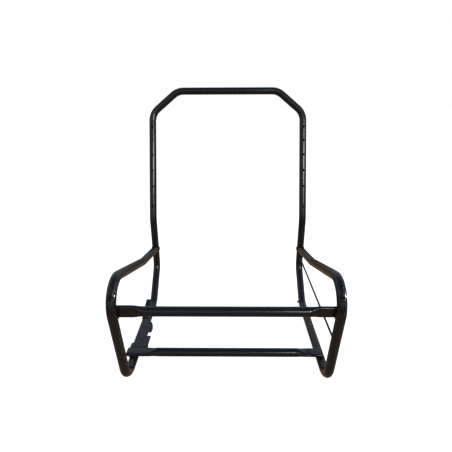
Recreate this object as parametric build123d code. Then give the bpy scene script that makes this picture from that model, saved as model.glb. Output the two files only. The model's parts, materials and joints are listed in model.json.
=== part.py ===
from build123d import *

import math
import os

# A bare tubular seat frame for a small vehicle. It stands on its two floor rails, so Z = 0 is the
# floor. The sitter faces -Y. X < 0 is the side with the slide latch. All sizes are in millimetres.

# The tube and the width of the frame
TUBE_R = 11.0
WALL = 1.5
BORE_R = TUBE_R - WALL
HALF_WIDTH = 240.0

# Corners of the side profile, as (Y, Z) of the tube's centre line
RAIL_Z = TUBE_R
FRONT_FOOT = (-256.0, RAIL_Z)
FRONT_TOP = (-323.4, 304.4)
SEAT_KINK = (-6.1, 201.2)
SEAT_JOINT = (178.8, 162.1)
REAR_FOOT = (85.4, RAIL_Z)
HIP = (178.9, 100.0)
LUMBAR = (171.4, 268.6)
TOP_BAR = (300.6, 656.1)
RAIL_SPLIT_Y = 44.4

# Bend radii of the centre line
FOOT_BEND = 48.0
FRONT_TOP_BEND = 54.0
KINK_BEND = 150.0
REAR_BEND = 50.0
LUMBAR_BEND = 70.0
HOOP_BEND = 50.0

# The hoop's cut corners
CORNER_ACROSS = 80.0
CORNER_DOWN = 71.0

# Drilled holes in the uprights: their heights and sizes
HOOK_HOLE_HEIGHTS = (550.0, 510.0, 466.5, 419.0, 371.0, 310.0)
HOOK_HOLE_R = 3.25
SMALL_HOLE_HEIGHTS = (265.0, 228.0)
SMALL_HOLE_R = 2.2

# Drain holes in the hoop's top corners, just inboard of the uprights
CORNER_HOLE_X = HALF_WIDTH - 10.0
CORNER_HOLE_Z = 592.0

# Cross tubes: where their centre lines are and how their ends are pressed flat
TAB_WIDTH = 29.4
TAB_THICKNESS = 9.0
TAB_CROWN = 0.2
FRONT_CROSS = (-287.8, 217.0)
FRONT_NECK = (176.0, 202.0)
FRONT_END = 246.0
LOWER_CROSS = (-178.6, 26.1)
LOWER_NECK = (176.0, 204.0)
LOWER_END_LATCH_SIDE = 257.0
LOWER_END_FAR_SIDE = 243.0
LEFT_TAB_TILT = 2.0
RIGHT_TAB_TILT = 13.0

# The seat side tubes stop this far short of the uprights' centre lines, and are coped to them
COPE_GAP = 3.0

# Weld beads stand this far off the tubes that they join
BEAD = 2.6
RING_BEAD = 1.0
RING_BEAD_WIDTH = 6.0

# Inner sleeves where the side loops meet the hoop
SPIGOT_R = BORE_R - 0.05
SPIGOT_LENGTH = 38.0

# Slide latch: pivot, lever plate, notch, finger bar, and the outer radius of its rolled edge
PIVOT = (-160.6, RAIL_Z)
PIVOT_R = 4.0
RUNNING_GAP = 0.05
LEVER_T = 3.0
LEVER_UNDER = 2 * TUBE_R + 0.6
EAR_R = 9.0
EAR_OUTER_X = -HALF_WIDTH - 12.0
EAR_INNER_X = -HALF_WIDTH + 27.0
LEVER_EDGE_X = -HALF_WIDTH - 12.0
FLANGE_X = EAR_INNER_X + LEVER_T
LEVER_FRONT_Y = -157.6
EAR_REAR_Y = -142.6
NOTCH_Y = (-109.5, -91.6)
NOTCH_DEPTH = 10.5
LOBE_APEX = (-212.0, -69.6)
LOBE_END = (-229.0, -32.6)
BAR_WIDTH = 16.0
BAR_START_Y = -28.6
BAR_END = (45.0, 48.0)
EDGE_ROLL_R = 6.0
RIB_R = 3.2
RIB_RISE = 1.4
RIB_Y = (-130.0, -84.0)

# Latch hardware
HEAD_FLATS = 13.0
HEAD_T = 5.3
HEX_CHAMFER = 0.8
BOLT_PROUD = 1.5
NUT_T = 8.0
NUT_COLLAR_T = 2.0
NUT_COLLAR_STEP = 0.6
WASHER_R = 8.0
WASHER_T = 1.0
SLEEVE_R = 5.5
SLEEVE_PROUD = 0.5
SPACER_R = 5.2
HARDWARE_GAP = 0.1
SPRING_WIRE_R = 0.9
SPRING_R = 6.6
SPRING_LEG_REACH = 12.5
SPRING_X = (-225.8, -216.2)
SPRING_TURN_COUNT = 5
SPRING_HOOK_ANGLE = 41.0
SPRING_HOLE_R = 1.1
SPRING_LEG_BEND = 1.5
SPRING_LEG_IN_RAIL = 1.0
SPRING_LEG_PAST_EAR = 0.5

# Tie rod on the side away from the latch
ROD_R = 2.5
ROD_HOLE_R = 2.8
ROD_X = HALF_WIDTH - 1.0
ROD_Z = 136.0
ROD_HOOK = 6.0
ROD_BEND = 3.5
ROD_END_INSET = 2.0

# Dimples in the front-top bends, the threaded insert in each, and the small drain hole above it
DIMPLE_ANGLE = 33.0
LEFT_DIMPLE_LEAN = 0.0
RIGHT_DIMPLE_LEAN = 15.0
DIMPLE_R = 8.8
DIMPLE_FLOOR_R = 5.2
DIMPLE_DEPTH = 2.8
INSERT_FLANGE_R = 5.0
INSERT_FLANGE_T = 0.6
INSERT_SLEEVE_R = 4.5
INSERT_THREAD_R = 3.4
INSERT_DEPTH = 10.0
MOUTH_CHAMFER = 0.4
DRAIN_ANGLE = 78.0
DRAIN_LEAN = 24.0

# Stop stud on the inner side of the far rail's rear bend
STUD_R = 3.5
STUD_Y = 86.4
STUD_LENGTH = 4.5
STUD_ROOT = 3.0
STUD_ROUND = 1.2

# How far a drill runs past what it cuts, and how far a full round stops short of half its bar
OVERRUN = 1.0
ROUND_MARGIN = 0.1


def on_line(start, end, z):
    """Y of the straight line through two (Y, Z) points, at height z."""
    return start[0] + (end[0] - start[0]) * (z - start[1]) / (end[1] - start[1])


def upright_y(z):
    """Y of an upright's centre line at height z."""
    return on_line(HIP, LUMBAR, z) if z < LUMBAR[1] else on_line(LUMBAR, TOP_BAR, z)


def direction(start, end):
    """Unit vector in a side plane, from one (Y, Z) point to another."""
    return Vector(0, end[0] - start[0], end[1] - start[1]).normalized()


def rod_between(start, end, radius):
    """A solid round bar from one point to another."""
    run = Vector(*end) - Vector(*start)
    return extrude(Plane(Vector(*start), z_dir=run) * Circle(radius), run.length)


def bent_bar(points, bends, radius):
    """A solid round bar along straight runs joined by tangent arcs."""
    path = FilletPolyline(*points, radius=bends)
    return sweep(Plane(path @ 0, z_dir=path % 0) * Circle(radius), path)


def bent_tube(points, bends):
    """A round tube of the frame's size along straight runs joined by tangent arcs."""
    return bent_bar(points, bends, TUBE_R) - bent_bar(points, bends, BORE_R)


def hoop_points():
    """Centre line of the backrest hoop, from one rail over the top to the other."""
    rise = direction(LUMBAR, TOP_BAR)
    shoulder = (TOP_BAR[0] - CORNER_DOWN * rise.Y, TOP_BAR[1] - CORNER_DOWN * rise.Z)
    half = [
        (-HALF_WIDTH, RAIL_SPLIT_Y, RAIL_Z),
        (-HALF_WIDTH, *REAR_FOOT),
        (-HALF_WIDTH, *HIP),
        (-HALF_WIDTH, *LUMBAR),
        (-HALF_WIDTH, *shoulder),
        (CORNER_ACROSS - HALF_WIDTH, *TOP_BAR),
    ]
    return half + [(-x, y, z) for x, y, z in reversed(half)]


def upright_holes():
    """Drills for the hook holes, small holes and corner holes, through the front wall of the hoop."""
    drills = []
    for side in (-HALF_WIDTH, HALF_WIDTH):
        for radius, heights in ((HOOK_HOLE_R, HOOK_HOLE_HEIGHTS), (SMALL_HOLE_R, SMALL_HOLE_HEIGHTS)):
            for z in heights:
                y = upright_y(z)
                drills.append(rod_between((side, y - 2 * TUBE_R, z), (side, y, z), radius))
        corner_x = math.copysign(CORNER_HOLE_X, side)
        corner_y = upright_y(CORNER_HOLE_Z)
        corner = (corner_x, corner_y, CORNER_HOLE_Z)
        drills.append(rod_between((corner_x, corner_y - 2 * TUBE_R, CORNER_HOLE_Z), corner, SMALL_HOLE_R))
    return drills


def rod_hole(y_from, y_to):
    """Drill along Y for one end of the tie rod."""
    return rod_between((ROD_X, y_from, ROD_Z), (ROD_X, y_to, ROD_Z), ROD_HOLE_R)


def backrest_hoop():
    """Uprights, top bar and the rear of both rails, in one bent tube."""
    bends = [REAR_BEND, REAR_BEND, LUMBAR_BEND, HOOP_BEND, HOOP_BEND]
    hoop = bent_tube(hoop_points(), bends + bends[::-1])
    rod_end_y = upright_y(ROD_Z)
    return hoop - upright_holes() - rod_hole(rod_end_y - 2 * TUBE_R, rod_end_y)


def loop_points(side):
    """Centre line of a side loop, from the rail joint round to the upright."""
    back_off = direction(SEAT_KINK, SEAT_JOINT) * COPE_GAP
    end = (SEAT_JOINT[0] - back_off.Y, SEAT_JOINT[1] - back_off.Z)
    profile = [(RAIL_SPLIT_Y, RAIL_Z), FRONT_FOOT, FRONT_TOP, SEAT_KINK, end]
    return [(side, y, z) for y, z in profile]


def front_top_centre():
    """Centre of the front-top bend, as (Y, Z)."""
    down = direction(FRONT_TOP, FRONT_FOOT)
    back = direction(FRONT_TOP, SEAT_KINK)
    inward = (down + back).normalized()
    half_turn = math.radians(down.get_angle(back)) / 2
    reach = FRONT_TOP_BEND / math.sin(half_turn)
    return FRONT_TOP[0] + reach * inward.Y, FRONT_TOP[1] + reach * inward.Z


def bend_surface(side, angle, lean=0.0):
    """Point on the outside of a front-top bend and its outward normal.

    The angle is up from straight ahead, and the lean turns the normal towards the middle of the frame.
    """
    centre_y, centre_z = front_top_centre()
    up = math.radians(angle)
    ahead = Vector(0, -math.cos(up), math.sin(up))
    inboard = Vector(-math.copysign(1.0, side), 0, 0)
    tip = math.radians(lean)
    normal = ahead * math.cos(tip) + inboard * math.sin(tip)
    on_axis = Vector(side, centre_y, centre_z) + ahead * FRONT_TOP_BEND
    return on_axis + normal * TUBE_R, normal


def surface_drill(surface, normal, radius, depth=TUBE_R):
    """Drill into a surface point, from outside it to a depth."""
    return rod_between(surface + normal * TUBE_R, surface - normal * depth, radius)


def dimple_place(side):
    """Crest point of the dimple in a front-top bend, and its outward normal."""
    return bend_surface(side, DIMPLE_ANGLE, LEFT_DIMPLE_LEAN if side < 0 else RIGHT_DIMPLE_LEAN)


def dimple_cone(side, wall=0.0):
    """The dimple as a solid cone, or with its pressed-in wall round it."""
    surface, normal = dimple_place(side)
    cone = Cone(
        DIMPLE_R + wall,
        DIMPLE_FLOOR_R + wall,
        DIMPLE_DEPTH + wall,
        align=(Align.CENTER, Align.CENTER, Align.MIN),
    )
    return Plane(surface, z_dir=-normal) * cone


def side_loop(side):
    """Rail front, front leg, front-top bend and seat side tube, in one bent tube."""
    loop = loop_core(side) - loop_core(side, BORE_R)
    loop -= upright_core(side)
    loop = loop + (dimple_cone(side, WALL) & loop_core(side)) - dimple_cone(side)
    loop -= surface_drill(*dimple_place(side), INSERT_SLEEVE_R)
    loop -= surface_drill(*bend_surface(side, DRAIN_ANGLE, DRAIN_LEAN), SMALL_HOLE_R)
    if side < 0:
        across = ((side - 2 * TUBE_R, *PIVOT), (side + 2 * TUBE_R, *PIVOT))
        loop -= rod_between(*across, SLEEVE_R)
        spring_y = PIVOT[0] + SPRING_LEG_REACH
        through_wall = ((side, spring_y, RAIL_Z), (side + 2 * TUBE_R, spring_y, RAIL_Z))
        loop -= rod_between(*through_wall, SPRING_HOLE_R)
    else:
        leg_y = on_line(FRONT_FOOT, FRONT_TOP, ROD_Z)
        loop -= rod_hole(leg_y, leg_y + 2 * TUBE_R)
    return loop


def upright_core(side, radius=TUBE_R):
    """Solid bar along the lower upright, for coping and welds."""
    return rod_between((side, *HIP), (side, *LUMBAR), radius)


def loop_core(side, radius=TUBE_R):
    """Solid bar along a whole side loop."""
    return bent_bar(loop_points(side), [FOOT_BEND, FRONT_TOP_BEND, KINK_BEND], radius)


def rail_core(side, radius=TUBE_R):
    """Solid bar along the straight of a rail, for coping and welds."""
    return rod_between((side, *FRONT_FOOT), (side, *REAR_FOOT), radius)


def seat_weld(side):
    """Bead round the joint of a seat side tube and its upright."""
    back = direction(SEAT_KINK, SEAT_JOINT)
    joint = Vector(side, *SEAT_JOINT)
    start = joint - back * 4 * TUBE_R
    grown = rod_between(start, joint, TUBE_R + BEAD)
    core = rod_between(start, joint + back * TUBE_R, TUBE_R)
    return (upright_core(side, TUBE_R + BEAD) & grown) - core - upright_core(side)


def squashed_section(x, flatness, inset=0.0):
    """Section of a cross tube at x, from round (flatness 0) to a flat tab (flatness 1).

    The tab is wide along Y and thin along Z. Four arcs keep the wall's length the same all the way.
    """
    flat_half = (TAB_WIDTH - TAB_THICKNESS) / 2
    spread = flat_half / TUBE_R
    round_r = TUBE_R - inset
    thin = TAB_THICKNESS / 2 - inset

    def blend(round_value, flat_value):
        return round_value + (flat_value - round_value) * flatness

    corner_y = blend(round_r * math.sin(spread), flat_half)
    corner_z = blend(round_r * math.cos(spread), thin)
    top_z = blend(round_r, thin + TAB_CROWN)
    side_y = blend(round_r, flat_half + thin)
    outline = [
        ThreePointArc((-corner_y, corner_z), (0, top_z), (corner_y, corner_z)),
        ThreePointArc((corner_y, corner_z), (side_y, 0), (corner_y, -corner_z)),
        ThreePointArc((corner_y, -corner_z), (0, -top_z), (-corner_y, -corner_z)),
        ThreePointArc((-corner_y, -corner_z), (-side_y, 0), (-corner_y, corner_z)),
    ]
    return Plane((x, 0, 0), x_dir=(0, 1, 0), z_dir=(1, 0, 0)) * make_face(outline)


def half_cross_bar(neck, end, inset=0.0):
    """Half of a cross tube as a solid bar from x = 0: round, then a neck, then the flat tab."""
    neck_start, neck_end = neck
    steps = 4
    sections = []
    for step in range(steps + 1):
        part_way = step / steps
        flatness = part_way * part_way * (3 - 2 * part_way)
        sections.append(squashed_section(neck_start + (neck_end - neck_start) * part_way, flatness, inset))
    shank = extrude(squashed_section(0, 0, inset), neck_start, dir=(1, 0, 0))
    tab = extrude(squashed_section(neck_end, 1, inset), end - neck_end, dir=(1, 0, 0))
    return shank + loft(sections) + tab


def cross_tube(centre, neck, ends, turns, inset=0.0):
    """A whole cross bar or bore. Each end has its own length and its own turn about the X axis."""
    left = mirror(half_cross_bar(neck, ends[0], inset), about=Plane.YZ)
    right = half_cross_bar(neck, ends[1], inset)
    return Pos(0, *centre) * (Rot(turns[0], 0, 0) * left + Rot(turns[1], 0, 0) * right)


FRONT_TURNS = (90.0 + LEFT_TAB_TILT, 90.0 + RIGHT_TAB_TILT)
FRONT_SHAPE = (FRONT_CROSS, FRONT_NECK, (FRONT_END, FRONT_END), FRONT_TURNS)
LOWER_SHAPE = (LOWER_CROSS, LOWER_NECK, (LOWER_END_LATCH_SIDE, LOWER_END_FAR_SIDE), (0.0, 0.0))


def front_cross_tube():
    """Tube behind the front legs, its pressed ends coped to them."""
    tube = cross_tube(*FRONT_SHAPE) - cross_tube(*FRONT_SHAPE, inset=WALL)
    return tube - loop_core(-HALF_WIDTH) - loop_core(HALF_WIDTH)


def lower_cross_tube():
    """Tube on top of the rails, its flattened ends coped to them."""
    tube = cross_tube(*LOWER_SHAPE) - cross_tube(*LOWER_SHAPE, inset=WALL)
    return tube - rail_core(-HALF_WIDTH) - rail_core(HALF_WIDTH)


def tab_weld(shape, index, core):
    """Bead where a pressed end of a cross tube lies on a tube of the frame."""
    centre, neck, ends, turns = shape
    side = -1.0 if index == 0 else 1.0
    inner_x = HALF_WIDTH - TUBE_R - BEAD
    grown_end = ends[index] + BEAD
    width = TAB_WIDTH + 2 * BEAD
    thickness = TAB_THICKNESS + 2 * BEAD
    block = Box(grown_end - inner_x, width, thickness)
    block = fillet(block.edges().filter_by(Axis.X), thickness / 2 - ROUND_MARGIN)
    block = Pos(side * (grown_end + inner_x) / 2, 0, 0) * block
    block = Pos(0, *centre) * (Rot(turns[index], 0, 0) * block)
    bead = block & core(side * HALF_WIDTH, TUBE_R + BEAD)
    return bead - core(side * HALF_WIDTH) - cross_tube(*shape)


def rail_spigot(side):
    """Sleeve inside the rail, half in the hoop and half in the side loop."""
    start = (side, RAIL_SPLIT_Y - SPIGOT_LENGTH / 2, RAIL_Z)
    end = (side, RAIL_SPLIT_Y + SPIGOT_LENGTH / 2, RAIL_Z)
    return rod_between(start, end, SPIGOT_R) - rod_between(start, end, SPIGOT_R - WALL)


def rail_weld(side):
    """Ring bead round the rail over the joint, left off underneath so that the rail sits flat."""
    half = RING_BEAD_WIDTH / 2
    section = make_face([
        ThreePointArc((-half, TUBE_R), (0, TUBE_R + RING_BEAD), (half, TUBE_R)),
        Line((half, TUBE_R), (-half, TUBE_R)),
    ])
    ring = Pos(side, RAIL_SPLIT_Y, RAIL_Z) * (Rot(0, 0, 90) * revolve(section, Axis.X))
    floor = Pos(side, RAIL_SPLIT_Y, 0) * Box(4 * TUBE_R, 4 * TUBE_R, 2 * RING_BEAD)
    return ring - floor


def lever_outline():
    """Plan view of the lever plate: shouldered front, flange with a notch, lobe and finger bar."""
    bar_inner_x = LEVER_EDGE_X + BAR_WIDTH
    shoulder_x = EAR_OUTER_X - LEVER_T
    notch_x = FLANGE_X - NOTCH_DEPTH
    notch_front, notch_rear = NOTCH_Y
    lobe_start_x = FLANGE_X - LEVER_T
    outline = [
        Line((shoulder_x, LEVER_FRONT_Y), (shoulder_x, EAR_REAR_Y)),
        Line((shoulder_x, EAR_REAR_Y), (LEVER_EDGE_X, EAR_REAR_Y + LEVER_T)),
        Line((LEVER_EDGE_X, EAR_REAR_Y + LEVER_T), (LEVER_EDGE_X, BAR_END[0])),
        Line((LEVER_EDGE_X, BAR_END[0]), (bar_inner_x, BAR_END[0])),
        Line((bar_inner_x, BAR_END[0]), (bar_inner_x, BAR_START_Y + BAR_WIDTH)),
        Line((bar_inner_x, BAR_START_Y + BAR_WIDTH), LOBE_END),
        ThreePointArc(LOBE_END, LOBE_APEX, (lobe_start_x, notch_rear)),
        Line((lobe_start_x, notch_rear), (notch_x, notch_rear)),
        Line((notch_x, notch_rear), (notch_x, notch_front)),
        Line((notch_x, notch_front), (FLANGE_X, notch_front)),
        Line((FLANGE_X, notch_front), (FLANGE_X, LEVER_FRONT_Y)),
        Line((FLANGE_X, LEVER_FRONT_Y), (shoulder_x, LEVER_FRONT_Y)),
    ]
    return make_face(outline)


def lever_profile():
    """Side view of the lever plate: flat over the rail, then rising to the finger bar's end."""
    rise = Vector(BAR_END[0] - BAR_START_Y, BAR_END[1] - LEVER_UNDER - LEVER_T)
    rise = rise.normalized()
    lift = Vector(-rise.Y, rise.X) * LEVER_T
    top_end = Vector(*BAR_END) + rise * LEVER_T
    under_start = Vector(BAR_START_Y, LEVER_UNDER)
    strip = Polyline(
        (LEVER_FRONT_Y, LEVER_UNDER),
        (under_start.X, under_start.Y),
        ((top_end - lift).X, (top_end - lift).Y),
        (top_end.X, top_end.Y),
        (under_start.X - LEVER_T * math.tan(math.atan2(rise.Y, rise.X) / 2), LEVER_UNDER + LEVER_T),
        (LEVER_FRONT_Y, LEVER_UNDER + LEVER_T),
        close=True,
    )
    return make_face(strip)


def lever_ear(x):
    """One ear of the lever, x being its face nearer the latch-side edge."""
    pivot_end = Pos(*PIVOT) * Circle(EAR_R)
    top = LEVER_UNDER + LEVER_T / 2
    hull = make_hull(pivot_end.edges() + [Line((LEVER_FRONT_Y, top), (EAR_REAR_Y, top))])
    return extrude(Plane((x, 0, 0), x_dir=(0, 1, 0), z_dir=(1, 0, 0)) * hull, LEVER_T, dir=(1, 0, 0))


def rolled_edge(plate):
    """The plate with its edge rolled a quarter turn down over the rail's flank, along its flat."""
    bend_x = LEVER_EDGE_X + EDGE_ROLL_R
    bend_z = LEVER_UNDER + LEVER_T - EDGE_ROLL_R
    y_from = EAR_REAR_Y + LEVER_T
    middle = Pos((LEVER_EDGE_X + bend_x) / 2, (y_from + BAR_START_Y) / 2, bend_z + EDGE_ROLL_R / 2)
    corner = middle * Box(EDGE_ROLL_R, BAR_START_Y - y_from, EDGE_ROLL_R)
    outer = rod_between((bend_x, y_from, bend_z), (bend_x, BAR_START_Y, bend_z), EDGE_ROLL_R)
    inner = rod_between((bend_x, y_from, bend_z), (bend_x, BAR_START_Y, bend_z), EDGE_ROLL_R - LEVER_T)
    return (plate - corner) + (corner & (outer - inner))


def latch_lever():
    """Pressed lever: plate, two ears on the pivot, notch, lobe, stiffening rib and finger bar."""
    tall = extrude(lever_outline(), 2 * BAR_END[1])
    side_view = Plane((0, 0, 0), x_dir=(0, 1, 0), z_dir=(1, 0, 0))
    strip = extrude(side_view * lever_profile(), 2 * HALF_WIDTH, both=True)
    plate = tall & strip
    rib_z = LEVER_UNDER + LEVER_T + RIB_RISE - RIB_R
    rib_x = -HALF_WIDTH + TUBE_R
    rib = rod_between((rib_x, RIB_Y[0], rib_z), (rib_x, RIB_Y[1], rib_z), RIB_R)
    rib += [Pos(rib_x, y, rib_z) * Sphere(RIB_R) for y in RIB_Y]
    slab = Pos(rib_x, sum(RIB_Y) / 2, LEVER_UNDER + LEVER_T)
    rib &= slab * Box(4 * RIB_R, 2 * (RIB_Y[1] - RIB_Y[0]), 2 * LEVER_T)
    lever = rolled_edge(plate) + rib + lever_ear(EAR_OUTER_X - LEVER_T) + lever_ear(EAR_INNER_X)
    hook = spring_point(SPRING_HOOK_ANGLE)
    lever -= rod_between((EAR_INNER_X - LEVER_T, *hook), (FLANGE_X + LEVER_T, *hook), SPRING_HOLE_R)
    return lever - pivot_bar(EAR_OUTER_X - 2 * LEVER_T, FLANGE_X + LEVER_T, PIVOT_R + RUNNING_GAP)


def pivot_bar(x_from, x_to, radius):
    """A solid round bar along the latch pivot."""
    return rod_between((x_from, *PIVOT), (x_to, *PIVOT), radius)


def pivot_hexagon(x_from, thickness):
    """A hexagonal prism on the latch pivot."""
    hexagon = RegularPolygon(HEAD_FLATS / 2, 6, major_radius=False)
    plane = Plane((x_from, *PIVOT), x_dir=(0, 1, 0), z_dir=(1, 0, 0))
    block = extrude(plane * hexagon, thickness, dir=(1, 0, 0))
    corner_r = HEAD_FLATS / math.sqrt(3)
    rim = pivot_bar(x_from, x_from + thickness, corner_r)
    rim = chamfer(rim.edges(), HEX_CHAMFER)
    return block & rim


WASHER_OUTER_X = EAR_OUTER_X - LEVER_T - WASHER_T
WASHER_INNER_X = FLANGE_X
NUT_X = WASHER_INNER_X + WASHER_T
BOLT_END_X = NUT_X + NUT_T + BOLT_PROUD


def latch_pivot_bolt():
    """Hexagon-head bolt on which the lever turns."""
    head = pivot_hexagon(WASHER_OUTER_X - HEAD_T, HEAD_T)
    shank = pivot_bar(WASHER_OUTER_X - OVERRUN, BOLT_END_X, PIVOT_R)
    return head + chamfer(shank.edges().sort_by(Axis.X)[-1], HEX_CHAMFER)


def latch_pivot_nut():
    """Locking nut: hexagon with a smooth collar at its outer end."""
    hexagon = pivot_hexagon(NUT_X, NUT_T - NUT_COLLAR_T)
    collar = pivot_bar(NUT_X, NUT_X + NUT_T, HEAD_FLATS / 2 - NUT_COLLAR_STEP)
    return hexagon + collar - pivot_bar(NUT_X - OVERRUN, NUT_X + NUT_T + OVERRUN, PIVOT_R)


def latch_washers():
    """One washer under the bolt's head and one under the nut."""
    washers = []
    for x in (WASHER_OUTER_X, WASHER_INNER_X):
        disc = pivot_bar(x, x + WASHER_T, WASHER_R)
        hole = pivot_bar(x - OVERRUN, x + WASHER_T + OVERRUN, PIVOT_R + HARDWARE_GAP)
        washers.append(disc - hole)
    return Compound(washers)


def latch_pivot_sleeve():
    """Crush sleeve through the rail, round the pivot bolt."""
    x_from = -HALF_WIDTH - TUBE_R - SLEEVE_PROUD
    x_to = -HALF_WIDTH + TUBE_R + SLEEVE_PROUD
    return pivot_bar(x_from, x_to, SLEEVE_R) - pivot_bar(x_from, x_to, PIVOT_R + HARDWARE_GAP)


def latch_spring_spacer():
    """Tube inside the return spring, from the crush sleeve to the inner ear."""
    x_from = -HALF_WIDTH + TUBE_R + SLEEVE_PROUD
    x_to = EAR_INNER_X - SLEEVE_PROUD
    return pivot_bar(x_from, x_to, SPACER_R) - pivot_bar(x_from, x_to, PIVOT_R + HARDWARE_GAP)


def spring_point(angle, reach=SPRING_LEG_REACH):
    """A (Y, Z) point round the pivot, angle 0 being straight behind it."""
    turn = math.radians(angle)
    return PIVOT[0] + reach * math.cos(turn), PIVOT[1] + reach * math.sin(turn)


def latch_return_spring():
    """Torsion spring: coil round the spacer, one leg in the rail and one in the inner ear."""
    leave = math.degrees(math.acos(SPRING_R / SPRING_LEG_REACH))
    start_angle = leave
    end_angle = SPRING_HOOK_ANGLE - leave
    turns = (360.0 * SPRING_TURN_COUNT + end_angle - start_angle) / 360.0
    height = SPRING_X[1] - SPRING_X[0]
    helix = Edge.make_helix(height / turns, height, SPRING_R)
    start = spring_point(start_angle, SPRING_R)
    outward = Vector(0, start[0] - PIVOT[0], start[1] - PIVOT[1])
    coil_plane = Plane((SPRING_X[0], *PIVOT), x_dir=outward, z_dir=(1, 0, 0))
    helix = coil_plane.location * helix
    coil = sweep(Plane(helix @ 0, z_dir=helix % 0) * Circle(SPRING_WIRE_R), helix, is_frenet=True)

    end = spring_point(end_angle, SPRING_R)
    in_rail = spring_point(0.0)
    in_ear = spring_point(SPRING_HOOK_ANGLE)
    leg_end_x = -HALF_WIDTH + BORE_R - SPRING_LEG_IN_RAIL
    rail_leg = bent_bar(
        [(SPRING_X[0], *start), (SPRING_X[0], *in_rail), (leg_end_x, *in_rail)],
        [SPRING_LEG_BEND],
        SPRING_WIRE_R,
    )
    ear_leg = bent_bar(
        [(SPRING_X[1], *end), (SPRING_X[1], *in_ear), (FLANGE_X + SPRING_LEG_PAST_EAR, *in_ear)],
        [SPRING_LEG_BEND],
        SPRING_WIRE_R,
    )
    joints = [Pos(x, *at) * Sphere(SPRING_WIRE_R) for x, at in ((SPRING_X[0], start), (SPRING_X[1], end))]
    return coil + rail_leg + ear_leg + joints


def tie_rod():
    """Thin rod from the front leg to the upright, hooked down inside both tubes."""
    front_y = on_line(FRONT_FOOT, FRONT_TOP, ROD_Z) + ROD_END_INSET
    rear_y = upright_y(ROD_Z) - ROD_END_INSET
    points = [
        (ROD_X, front_y, ROD_Z - ROD_HOOK),
        (ROD_X, front_y, ROD_Z),
        (ROD_X, rear_y, ROD_Z),
        (ROD_X, rear_y, ROD_Z - ROD_HOOK),
    ]
    return bent_bar(points, [ROD_BEND, ROD_BEND], ROD_R)


def leg_insert(side):
    """Threaded insert with a thin flange on the floor of a front-top dimple."""
    surface, normal = dimple_place(side)
    seat = surface - normal * DIMPLE_DEPTH
    face = seat + normal * INSERT_FLANGE_T
    flange = rod_between(seat, face, INSERT_FLANGE_R)
    sleeve = rod_between(surface - normal * INSERT_DEPTH, face, INSERT_SLEEVE_R)
    mouth = Plane(face, z_dir=-normal) * Cone(
        INSERT_THREAD_R + MOUTH_CHAMFER,
        INSERT_THREAD_R,
        MOUTH_CHAMFER,
        align=(Align.CENTER, Align.CENTER, Align.MIN),
    )
    bore_start = surface - normal * (INSERT_DEPTH + OVERRUN)
    bore = rod_between(bore_start, face + normal * OVERRUN, INSERT_THREAD_R)
    return flange + sleeve - mouth - bore


def stop_stud():
    """Short round stud welded to the inner side of the far rail's rear bend."""
    arc_centre_y = REAR_FOOT[0] - REAR_BEND * math.tan(
        math.radians(direction(FRONT_FOOT, REAR_FOOT).get_angle(direction(REAR_FOOT, HIP))) / 2
    )
    centre_z = RAIL_Z + REAR_BEND - math.sqrt(REAR_BEND**2 - (STUD_Y - arc_centre_y) ** 2)
    inner_x = HALF_WIDTH - TUBE_R
    root = (inner_x + STUD_ROOT, STUD_Y, centre_z)
    stud = rod_between(root, (inner_x - STUD_LENGTH, STUD_Y, centre_z), STUD_R)
    stud = fillet(stud.edges().sort_by(Axis.X)[0], STUD_ROUND)
    bends = [REAR_BEND, REAR_BEND, LUMBAR_BEND]
    return stud - bent_bar(hoop_points()[::-1][:5], bends, TUBE_R)


def sub_parts():
    """Every piece of the frame, by name."""
    left, right = -HALF_WIDTH, HALF_WIDTH
    return {
        "backrest_hoop": backrest_hoop(),
        "left_side_loop": side_loop(left),
        "right_side_loop": side_loop(right),
        "left_rail_spigot": rail_spigot(left),
        "right_rail_spigot": rail_spigot(right),
        "left_rail_weld": rail_weld(left),
        "right_rail_weld": rail_weld(right),
        "left_seat_weld": seat_weld(left),
        "right_seat_weld": seat_weld(right),
        "front_cross_tube": front_cross_tube(),
        "left_front_weld": tab_weld(FRONT_SHAPE, 0, loop_core),
        "right_front_weld": tab_weld(FRONT_SHAPE, 1, loop_core),
        "lower_cross_tube": lower_cross_tube(),
        "left_lower_weld": tab_weld(LOWER_SHAPE, 0, rail_core),
        "right_lower_weld": tab_weld(LOWER_SHAPE, 1, rail_core),
        "latch_lever": latch_lever(),
        "latch_pivot_bolt": latch_pivot_bolt(),
        "latch_pivot_nut": latch_pivot_nut(),
        "latch_washers": latch_washers(),
        "latch_pivot_sleeve": latch_pivot_sleeve(),
        "latch_spring_spacer": latch_spring_spacer(),
        "latch_return_spring": latch_return_spring(),
        "tie_rod": tie_rod(),
        "left_leg_insert": leg_insert(left),
        "right_leg_insert": leg_insert(right),
        "stop_stud": stop_stud(),
    }


os.makedirs("parts", exist_ok=True)
for name, shape in sub_parts().items():
    export_step(shape, f"parts/{name}.step")
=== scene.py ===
import json
import math

import bpy
from mathutils import Matrix, Vector


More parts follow.
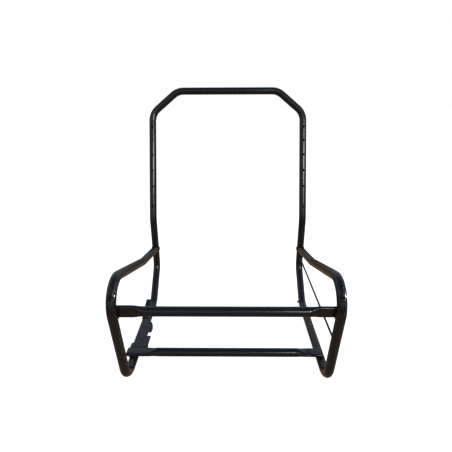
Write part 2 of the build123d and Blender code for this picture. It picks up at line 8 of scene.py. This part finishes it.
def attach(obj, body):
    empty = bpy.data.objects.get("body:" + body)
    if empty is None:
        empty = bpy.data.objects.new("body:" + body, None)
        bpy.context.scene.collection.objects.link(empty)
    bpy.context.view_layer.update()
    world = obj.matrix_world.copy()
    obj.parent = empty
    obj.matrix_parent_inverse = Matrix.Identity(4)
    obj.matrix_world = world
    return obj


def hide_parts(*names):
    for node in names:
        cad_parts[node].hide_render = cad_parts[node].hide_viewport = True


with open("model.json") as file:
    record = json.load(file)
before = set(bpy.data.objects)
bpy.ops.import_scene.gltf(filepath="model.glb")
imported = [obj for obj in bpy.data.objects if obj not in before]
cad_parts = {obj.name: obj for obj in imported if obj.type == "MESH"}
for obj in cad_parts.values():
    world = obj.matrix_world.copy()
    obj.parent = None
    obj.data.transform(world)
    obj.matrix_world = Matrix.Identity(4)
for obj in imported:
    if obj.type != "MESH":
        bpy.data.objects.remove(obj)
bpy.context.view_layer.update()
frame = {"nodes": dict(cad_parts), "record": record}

NODES = frame["nodes"]

# Driving sizes of the frame, in metres, as the CAD has them
TUBE_R = 0.011
HALF_WIDTH = 0.24
FRONT_FOOT = (-0.256, 0.011)
FRONT_TOP = (-0.3234, 0.3044)
HIP = (0.1789, 0.1)
LUMBAR = (0.1714, 0.2686)
TOP_BAR = (0.3006, 0.6561)
SEAT_KINK = (-0.0061, 0.2012)
SEAT_JOINT = (0.1788, 0.1621)
RAIL_SPLIT_Y = 0.0444
FRONT_TOP_BEND = 0.054
HOOK_HOLE_HEIGHTS = (0.55, 0.51, 0.4665, 0.419, 0.371, 0.31)
HOOK_HOLE_R = 0.00325
SMALL_HOLE_HEIGHTS = (0.265, 0.228)
SMALL_HOLE_R = 0.0022
DRAIN_ANGLE = 78.0
DRAIN_LEAN = 24.0

# Raised lips round the drilled holes: the lip's own radius, and how finely it is cut
LIP_R = 0.0008
LIP_STEPS = 48
LIP_SECTION_STEPS = 12

# Camera
CAMERA_AT = (0.0094, -0.9867, 0.66415)
CAMERA_DOWN = 19.914
CAMERA_LEFT = 0.74
CAMERA_ROLL = -0.25
SENSOR = 36.0
LENS = 30.27

# What the coat reflects, by height: warm ground, dim below the horizon, pale sky, dark blue overhead
SURROUNDINGS = (
    (0.0, (0.24, 0.17, 0.115)),
    (0.28, (0.26, 0.19, 0.13)),
    (0.4, (0.115, 0.09, 0.07)),
    (0.45, (0.12, 0.105, 0.095)),
    (0.52, (0.28, 0.30, 0.33)),
    (0.64, (0.42, 0.46, 0.52)),
    (0.8, (0.48, 0.54, 0.62)),
    (0.92, (0.14, 0.20, 0.31)),
    (1.0, (0.055, 0.095, 0.19)),
)

# Lights: azimuth 0 is in front of the seat, 90 is on its +X side; angles in degrees, power in watts
KEY_TURN = (33.0, 28.0)
KEY_DISTANCE = 3.0
KEY_SIZE = (2.1, 0.5)
KEY_POWER = 37.0
KEY_COLOUR = (1.0, 0.99, 0.96)
SIDE_TURN = (93.0, 4.5)
SIDE_DISTANCE = 1.6
SIDE_SIZE = (0.08, 0.08)
SIDE_POWER = 0.16
SIDE_COLOUR = (1.0, 0.97, 0.92)
SIDE_SPREAD = 11.0
SEAT_MIDDLE = (0.0, 0.0, 0.3)
FRONT_BENDS = (0.0, -0.3, 0.26)
FULL_SPREAD = 180.0

# The floor: half its side, its two tones, and its own light, so that it meets the white behind it
FLOOR_REACH = 12.0
FLOOR_TONES = ((0.86, 0.86, 0.86), (0.88, 0.88, 0.88))
FLOOR_GLOW = 0.9

# Weld beads
WELD_VOXEL = 0.0005
RIPPLE_LENGTH = 0.0026
RIPPLE_DEPTH = 0.00035
RIPPLE_LEVEL = 0.6


# ---------------------------------------------------------------- node helpers

class Nodes:
    """A node tree, with short ways to add and join nodes."""

    def __init__(self, tree):
        self.tree = tree
        self.tree.nodes.clear()

    def add(self, kind):
        return self.tree.nodes.new(f"ShaderNode{kind}")

    def join(self, source, source_socket, target, target_socket):
        self.tree.links.new(source.outputs[source_socket], target.inputs[target_socket])

    def ramp(self, source, source_socket, stops):
        node = self.add("ValToRGB")
        elements = node.color_ramp.elements
        while len(elements) < len(stops):
            elements.new(0.5)
        for element, (position, colour) in zip(elements, stops):
            element.position = position
            element.color = (*colour, 1.0)
        self.join(source, source_socket, node, "Fac")
        return node

    def span(self, source, source_socket, low, high, start=0.3, end=0.7):
        node = self.add("MapRange")
        node.inputs["From Min"].default_value = start
        node.inputs["From Max"].default_value = end
        node.inputs["To Min"].default_value = low
        node.inputs["To Max"].default_value = high
        self.join(source, source_socket, node, "Value")
        return node


class Surface(Nodes):
    """A material with one Principled shader, textured in the object's own space."""

    def __init__(self, name):
        self.material = bpy.data.materials.new(name)
        self.material.use_nodes = True
        super().__init__(self.material.node_tree)
        output = self.add("OutputMaterial")
        self.shader = self.add("BsdfPrincipled")
        self.join(self.shader, "BSDF", output, "Surface")
        self.place = self.add("TexCoord")

    def noise(self, scale, detail=4.0, roughness=0.55):
        node = self.add("TexNoise")
        node.inputs["Scale"].default_value = scale
        node.inputs["Detail"].default_value = detail
        node.inputs["Roughness"].default_value = roughness
        self.join(self.place, "Object", node, "Vector")
        return node

    def bump(self, source, source_socket, strength, distance, under=None):
        node = self.add("Bump")
        node.inputs["Strength"].default_value = strength
        node.inputs["Distance"].default_value = distance
        self.join(source, source_socket, node, "Height")
        if under is not None:
            self.join(under, "Normal", node, "Normal")
        return node

    def set(self, **values):
        for key, value in values.items():
            self.shader.inputs[key.replace("_", " ")].default_value = value


# ---------------------------------------------------------------- materials

def paint(name, dark, light, gloss, dull, peel=0.012, lumps=0.0):
    """Powder coat: near-black with faint cloudy variation, orange peel and patches of duller film."""
    nodes = Surface(name)
    cloud = nodes.noise(38.0, 6.0)
    tint = nodes.ramp(cloud, "Fac", [(0.3, dark), (0.72, light)])
    nodes.join(tint, "Color", nodes.shader, "Base Color")
    film = nodes.noise(95.0, 5.0, 0.65)
    rough = nodes.span(film, "Fac", gloss, dull)
    nodes.join(rough, "Result", nodes.shader, "Roughness")
    skin = nodes.noise(620.0, 2.0)
    normal = nodes.bump(skin, "Fac", peel, 0.0003)
    if lumps:
        lump = nodes.noise(240.0, 3.0)
        normal = nodes.bump(lump, "Fac", lumps, 0.0006, normal)
    nodes.join(normal, "Normal", nodes.shader, "Normal")
    nodes.set(Specular_IOR_Level=0.5)
    return nodes.material


def metal(name, dark, light, gloss, dull, grain):
    """Plated or bare steel: cloudy tone, fine grain and uneven shine."""
    nodes = Surface(name)
    cloud = nodes.noise(160.0, 6.0)
    tint = nodes.ramp(cloud, "Fac", [(0.28, dark), (0.7, light)])
    nodes.join(tint, "Color", nodes.shader, "Base Color")
    shine = nodes.noise(420.0, 4.0)
    rough = nodes.span(shine, "Fac", gloss, dull)
    nodes.join(rough, "Result", nodes.shader, "Roughness")
    skin = nodes.noise(1500.0, 3.0)
    normal = nodes.bump(skin, "Fac", grain, 0.0001)
    nodes.join(normal, "Normal", nodes.shader, "Normal")
    nodes.set(Metallic=1.0)
    return nodes.material


SLOTS = {
    "frame_paint": paint("frame_powder_coat", (0.006, 0.0061, 0.0064), (0.0105, 0.0103, 0.0105), 0.15, 0.22),
    "lever_paint": paint("lever_coat", (0.006, 0.0062, 0.007), (0.017, 0.0165, 0.0155), 0.26, 0.42, 0.12),
    "weld_paint": paint("weld_coat", (0.006, 0.006, 0.0065), (0.014, 0.013, 0.012), 0.18, 0.32, 0.15, 0.35),
    "rod_paint": paint("rod_coat", (0.006, 0.006, 0.0065), (0.012, 0.012, 0.0125), 0.28, 0.4),
    "black_fastener": metal("black_zinc", (0.02, 0.021, 0.025), (0.05, 0.05, 0.052), 0.3, 0.45, 0.2),
    "bare_steel": metal("bare_steel", (0.32, 0.32, 0.33), (0.5, 0.49, 0.47), 0.3, 0.45, 0.25),
    "spring_steel": metal("spring_steel", (0.14, 0.14, 0.145), (0.26, 0.25, 0.24), 0.25, 0.4, 0.2),
    "insert_paint": paint("insert_coat", (0.005, 0.005, 0.0055), (0.012, 0.011, 0.0105), 0.2, 0.34, 0.15),
}


def finish_nodes():
    """Every carried-over CAD node gets its slot's procedural material."""
    for part in frame["record"]["subparts"]:
        node = NODES[part["node"]]
        node.data.materials.clear()
        node.data.materials.append(SLOTS[part["material_slot"]])


# ---------------------------------------------------------------- rippled weld beads

def bead_mesh(node):
    """The CAD bead as an even, fine mesh that can carry ripples."""
    rough = bpy.data.objects.new("bead_source", NODES[node].data.copy())
    bpy.context.scene.collection.objects.link(rough)
    remesh = rough.modifiers.new("even", "REMESH")
    remesh.mode = "VOXEL"
    remesh.voxel_size = WELD_VOXEL
    bpy.context.view_layer.update()
    graph = bpy.context.evaluated_depsgraph_get()
    mesh = bpy.data.meshes.new_from_object(rough.evaluated_get(graph))
    bpy.data.objects.remove(rough)
    return mesh


def ripple_weld(name, node, along):
    """A bead with the overlapping ripples of a run of weld; along gives a point's distance on the run."""
    mesh = bead_mesh(node)
    shifts = []
    for vertex in mesh.vertices:
        wave = abs(math.sin(math.pi * along(vertex.co) / RIPPLE_LENGTH))
        shifts.append(vertex.normal * RIPPLE_DEPTH * (wave - RIPPLE_LEVEL))
    for vertex, shift in zip(mesh.vertices, shifts):
        vertex.co += shift
        vertex.co.z = max(vertex.co.z, 0.0)
    for polygon in mesh.polygons:
        polygon.use_smooth = True
    mesh.materials.clear()
    mesh.materials.append(SLOTS["weld_paint"])
    bead = bpy.data.objects.new(name, mesh)
    bpy.context.scene.collection.objects.link(bead)
    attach(bead, "frame")
    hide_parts(node)


def round_axis(point, normal):
    """Distance on the tube's surface round an axis through a (Y, Z) point, in a side plane."""
    axis = Vector((0.0, normal[0], normal[1])).normalized()
    up = Vector((1.0, 0.0, 0.0)).cross(axis)

    def along(place, side):
        arm = place - Vector((side, *point))
        return TUBE_R * math.atan2(arm.dot(up), arm.x)

    return along


def weld_beads():
    back = (SEAT_JOINT[0] - SEAT_KINK[0], SEAT_JOINT[1] - SEAT_KINK[1])
    seat = round_axis(SEAT_JOINT, back)
    rail = round_axis((RAIL_SPLIT_Y, TUBE_R), (1.0, 0.0))
    for name, side in (("left", -HALF_WIDTH), ("right", HALF_WIDTH)):
        ripple_weld(f"{name}_seat_bead", f"{name}_seat_weld", lambda p, s=side: seat(p, s))
        ripple_weld(f"{name}_rail_bead", f"{name}_rail_weld", lambda p, s=side: rail(p, s))
        ripple_weld(f"{name}_front_bead", f"{name}_front_weld", lambda p: p.y + p.z)
        ripple_weld(f"{name}_lower_bead", f"{name}_lower_weld", lambda p: p.y + 0.3 * p.x)


# ---------------------------------------------------------------- lips round the drilled holes

def slope_of(start, end):
    """Rise in Y for each unit of Z along a straight tube."""
    return (end[0] - start[0]) / (end[1] - start[1])


def upright_surface(side, x, z):
    """Point on the front of an upright at a place in front view, and its outward normal."""
    low, high = (HIP, LUMBAR) if z < LUMBAR[1] else (LUMBAR, TOP_BAR)
    slope = slope_of(low, high)
    stretch = math.sqrt(1.0 + slope * slope)
    across = x - side
    depth = math.sqrt(TUBE_R * TUBE_R - across * across)
    y = low[0] + slope * (z - low[1]) - depth * stretch
    ahead = Vector((0.0, -1.0, slope)).normalized()
    normal = ahead * (depth / TUBE_R) + Vector((across / TUBE_R, 0.0, 0.0))
    return Vector((x, y, z)), normal


def front_top_centre():
    """Centre of the front-top bend, in a side plane."""
    down = (Vector(FRONT_FOOT) - Vector(FRONT_TOP)).normalized()
    back = (Vector(SEAT_KINK) - Vector(FRONT_TOP)).normalized()
    half_turn = down.angle(back) / 2
    return Vector(FRONT_TOP) + (down + back).normalized() * FRONT_TOP_BEND / math.sin(half_turn)


def bend_surface(side, angle, lean):
    """Point on the outside of a front-top bend and its outward normal; lean is towards the middle."""
    centre = front_top_centre()
    ahead = Vector((0.0, -math.cos(angle), math.sin(angle)))
    inboard = Vector((-math.copysign(1.0, side), 0.0, 0.0))
    normal = ahead * math.cos(lean) + inboard * math.sin(lean)
    return Vector((side, *centre)) + ahead * FRONT_TOP_BEND + normal * TUBE_R, normal


def hole_lip(name, ring):
    """A rounded lip of paint along a hole's edge; ring gives a surface point and normal at an angle."""
    middle = sum((ring(2 * math.pi * k / LIP_STEPS)[0] for k in range(LIP_STEPS)), Vector()) / LIP_STEPS
    verts = []
    for k in range(LIP_STEPS):
        point, normal = ring(2 * math.pi * k / LIP_STEPS)
        outward = point - middle
        outward = (outward - normal * outward.dot(normal)).normalized()
        for m in range(LIP_SECTION_STEPS):
            turn = 2 * math.pi * m / LIP_SECTION_STEPS
            verts.append(point + (outward * math.cos(turn) + normal * math.sin(turn)) * LIP_R)
    faces = []
    for k in range(LIP_STEPS):
        for m in range(LIP_SECTION_STEPS):
            here, there = k * LIP_SECTION_STEPS, (k + 1) % LIP_STEPS * LIP_SECTION_STEPS
            after = (m + 1) % LIP_SECTION_STEPS
            faces.append((here + m, there + m, there + after, here + after))
    mesh = bpy.data.meshes.new(name)
    mesh.from_pydata(verts, [], faces)
    mesh.update()
    for polygon in mesh.polygons:
        polygon.use_smooth = True
    mesh.materials.append(SLOTS["frame_paint"])
    lip = bpy.data.objects.new(name, mesh)
    bpy.context.scene.collection.objects.link(lip)
    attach(lip, "frame")


def upright_lips():
    """Lips round the hook holes and small holes of both uprights."""
    for side_name, side in (("left", -HALF_WIDTH), ("right", HALF_WIDTH)):
        for kind, radius, heights in (
            ("hook", HOOK_HOLE_R, HOOK_HOLE_HEIGHTS),
            ("small", SMALL_HOLE_R, SMALL_HOLE_HEIGHTS),
        ):
            for number, z in enumerate(heights, start=1):

                def ring(turn, z=z, radius=radius, side=side):
                    return upright_surface(side, side + radius * math.cos(turn), z + radius * math.sin(turn))

                hole_lip(f"{side_name}_{kind}_hole_lip_{number}", ring)


def drain_lips():
    """Lips round the drain holes of the front-top bends."""
    for side_name, side in (("left", -HALF_WIDTH), ("right", HALF_WIDTH)):
        angle, lean = math.radians(DRAIN_ANGLE), math.radians(DRAIN_LEAN)

        def ring(turn, side=side):
            reach = SMALL_HOLE_R * math.cos(turn)
            along = SMALL_HOLE_R * math.sin(turn) / (FRONT_TOP_BEND + TUBE_R)
            return bend_surface(side, angle + along, lean + reach / TUBE_R)

        hole_lip(f"{side_name}_drain_hole_lip", ring)


# ---------------------------------------------------------------- stage, light, camera

def floor():
    mesh = bpy.data.meshes.new("floor")
    turns = ((-1, -1), (1, -1), (1, 1), (-1, 1))
    corners = [(x * FLOOR_REACH, y * FLOOR_REACH, 0.0) for x, y in turns]
    mesh.from_pydata(corners, [], [(0, 1, 2, 3)])
    plane = bpy.data.objects.new("floor", mesh)
    bpy.context.scene.collection.objects.link(plane)
    nodes = Surface("floor_pale")
    cloud = nodes.noise(0.8, 2.0)
    tint = nodes.ramp(cloud, "Fac", [(0.3, FLOOR_TONES[0]), (0.7, FLOOR_TONES[1])])
    nodes.join(tint, "Color", nodes.shader, "Base Color")
    nodes.set(Roughness=0.9, Specular_IOR_Level=0.0)
    nodes.set(Emission_Color=(1.0, 1.0, 1.0, 1.0), Emission_Strength=FLOOR_GLOW)
    mesh.materials.append(nodes.material)
    plane.visible_glossy = False
    plane.visible_diffuse = False
    plane.visible_shadow = False


def soft_light(name, turn_lift, distance, size, power, colour, target=SEAT_MIDDLE, spread=FULL_SPREAD):
    """A rectangular softbox aimed at the target, from an azimuth and elevation."""
    data = bpy.data.lights.new(name, "AREA")
    data.shape = "RECTANGLE"
    data.size, data.size_y = size
    data.energy = power
    data.color = colour
    data.spread = math.radians(spread)
    turn, lift = (math.radians(angle) for angle in turn_lift)
    away = Vector((math.sin(turn) * math.cos(lift), -math.cos(turn) * math.cos(lift), math.sin(lift)))
    lamp = bpy.data.objects.new(name, data)
    lamp.location = Vector(target) + away * distance
    lamp.rotation_mode = "QUATERNION"
    lamp.rotation_quaternion = (-away).to_track_quat("-Z", "Y")
    lamp.visible_camera = False
    bpy.context.scene.collection.objects.link(lamp)


def surroundings():
    """White behind the object. What lights it and shows in its gloss runs from warm ground to blue sky."""
    world = bpy.data.worlds.new("studio")
    world.use_nodes = True
    nodes = Nodes(world.node_tree)
    output = nodes.add("OutputWorld")
    either = nodes.add("MixShader")
    ray = nodes.add("LightPath")
    place = nodes.add("TexCoord")
    split = nodes.add("SeparateXYZ")
    lit = nodes.add("Background")
    seen = nodes.add("Background")
    seen.inputs["Color"].default_value = (1.0, 1.0, 1.0, 1.0)
    nodes.join(place, "Generated", split, "Vector")
    height = nodes.span(split, "Z", 0.0, 1.0, -1.0, 1.0)
    sky = nodes.ramp(height, "Result", SURROUNDINGS)
    nodes.join(sky, "Color", lit, "Color")
    nodes.join(ray, "Is Camera Ray", either, "Fac")
    nodes.join(lit, "Background", either, 1)
    nodes.join(seen, "Background", either, 2)
    nodes.join(either, "Shader", output, "Surface")
    bpy.context.scene.world = world
    bpy.context.scene.view_settings.view_transform = "Standard"


def lights():
    soft_light("key", KEY_TURN, KEY_DISTANCE, KEY_SIZE, KEY_POWER, KEY_COLOUR)
    soft_light(
        "side", SIDE_TURN, SIDE_DISTANCE, SIDE_SIZE, SIDE_POWER, SIDE_COLOUR, FRONT_BENDS, SIDE_SPREAD
    )
    surroundings()


def camera():
    data = bpy.data.cameras.new("camera")
    data.sensor_width = SENSOR
    data.lens = LENS
    data.clip_start = 0.05
    data.clip_end = 100.0
    eye = bpy.data.objects.new("camera", data)
    pan = Matrix.Rotation(math.radians(CAMERA_LEFT), 4, "Z")
    tilt = Matrix.Rotation(math.radians(90.0 - CAMERA_DOWN), 4, "X")
    roll = Matrix.Rotation(math.radians(CAMERA_ROLL), 4, "Z")
    eye.matrix_world = Matrix.Translation(CAMERA_AT) @ pan @ tilt @ roll
    bpy.context.scene.collection.objects.link(eye)
    bpy.context.scene.camera = eye


finish_nodes()
weld_beads()
upright_lips()
drain_lips()
floor()
lights()
camera()
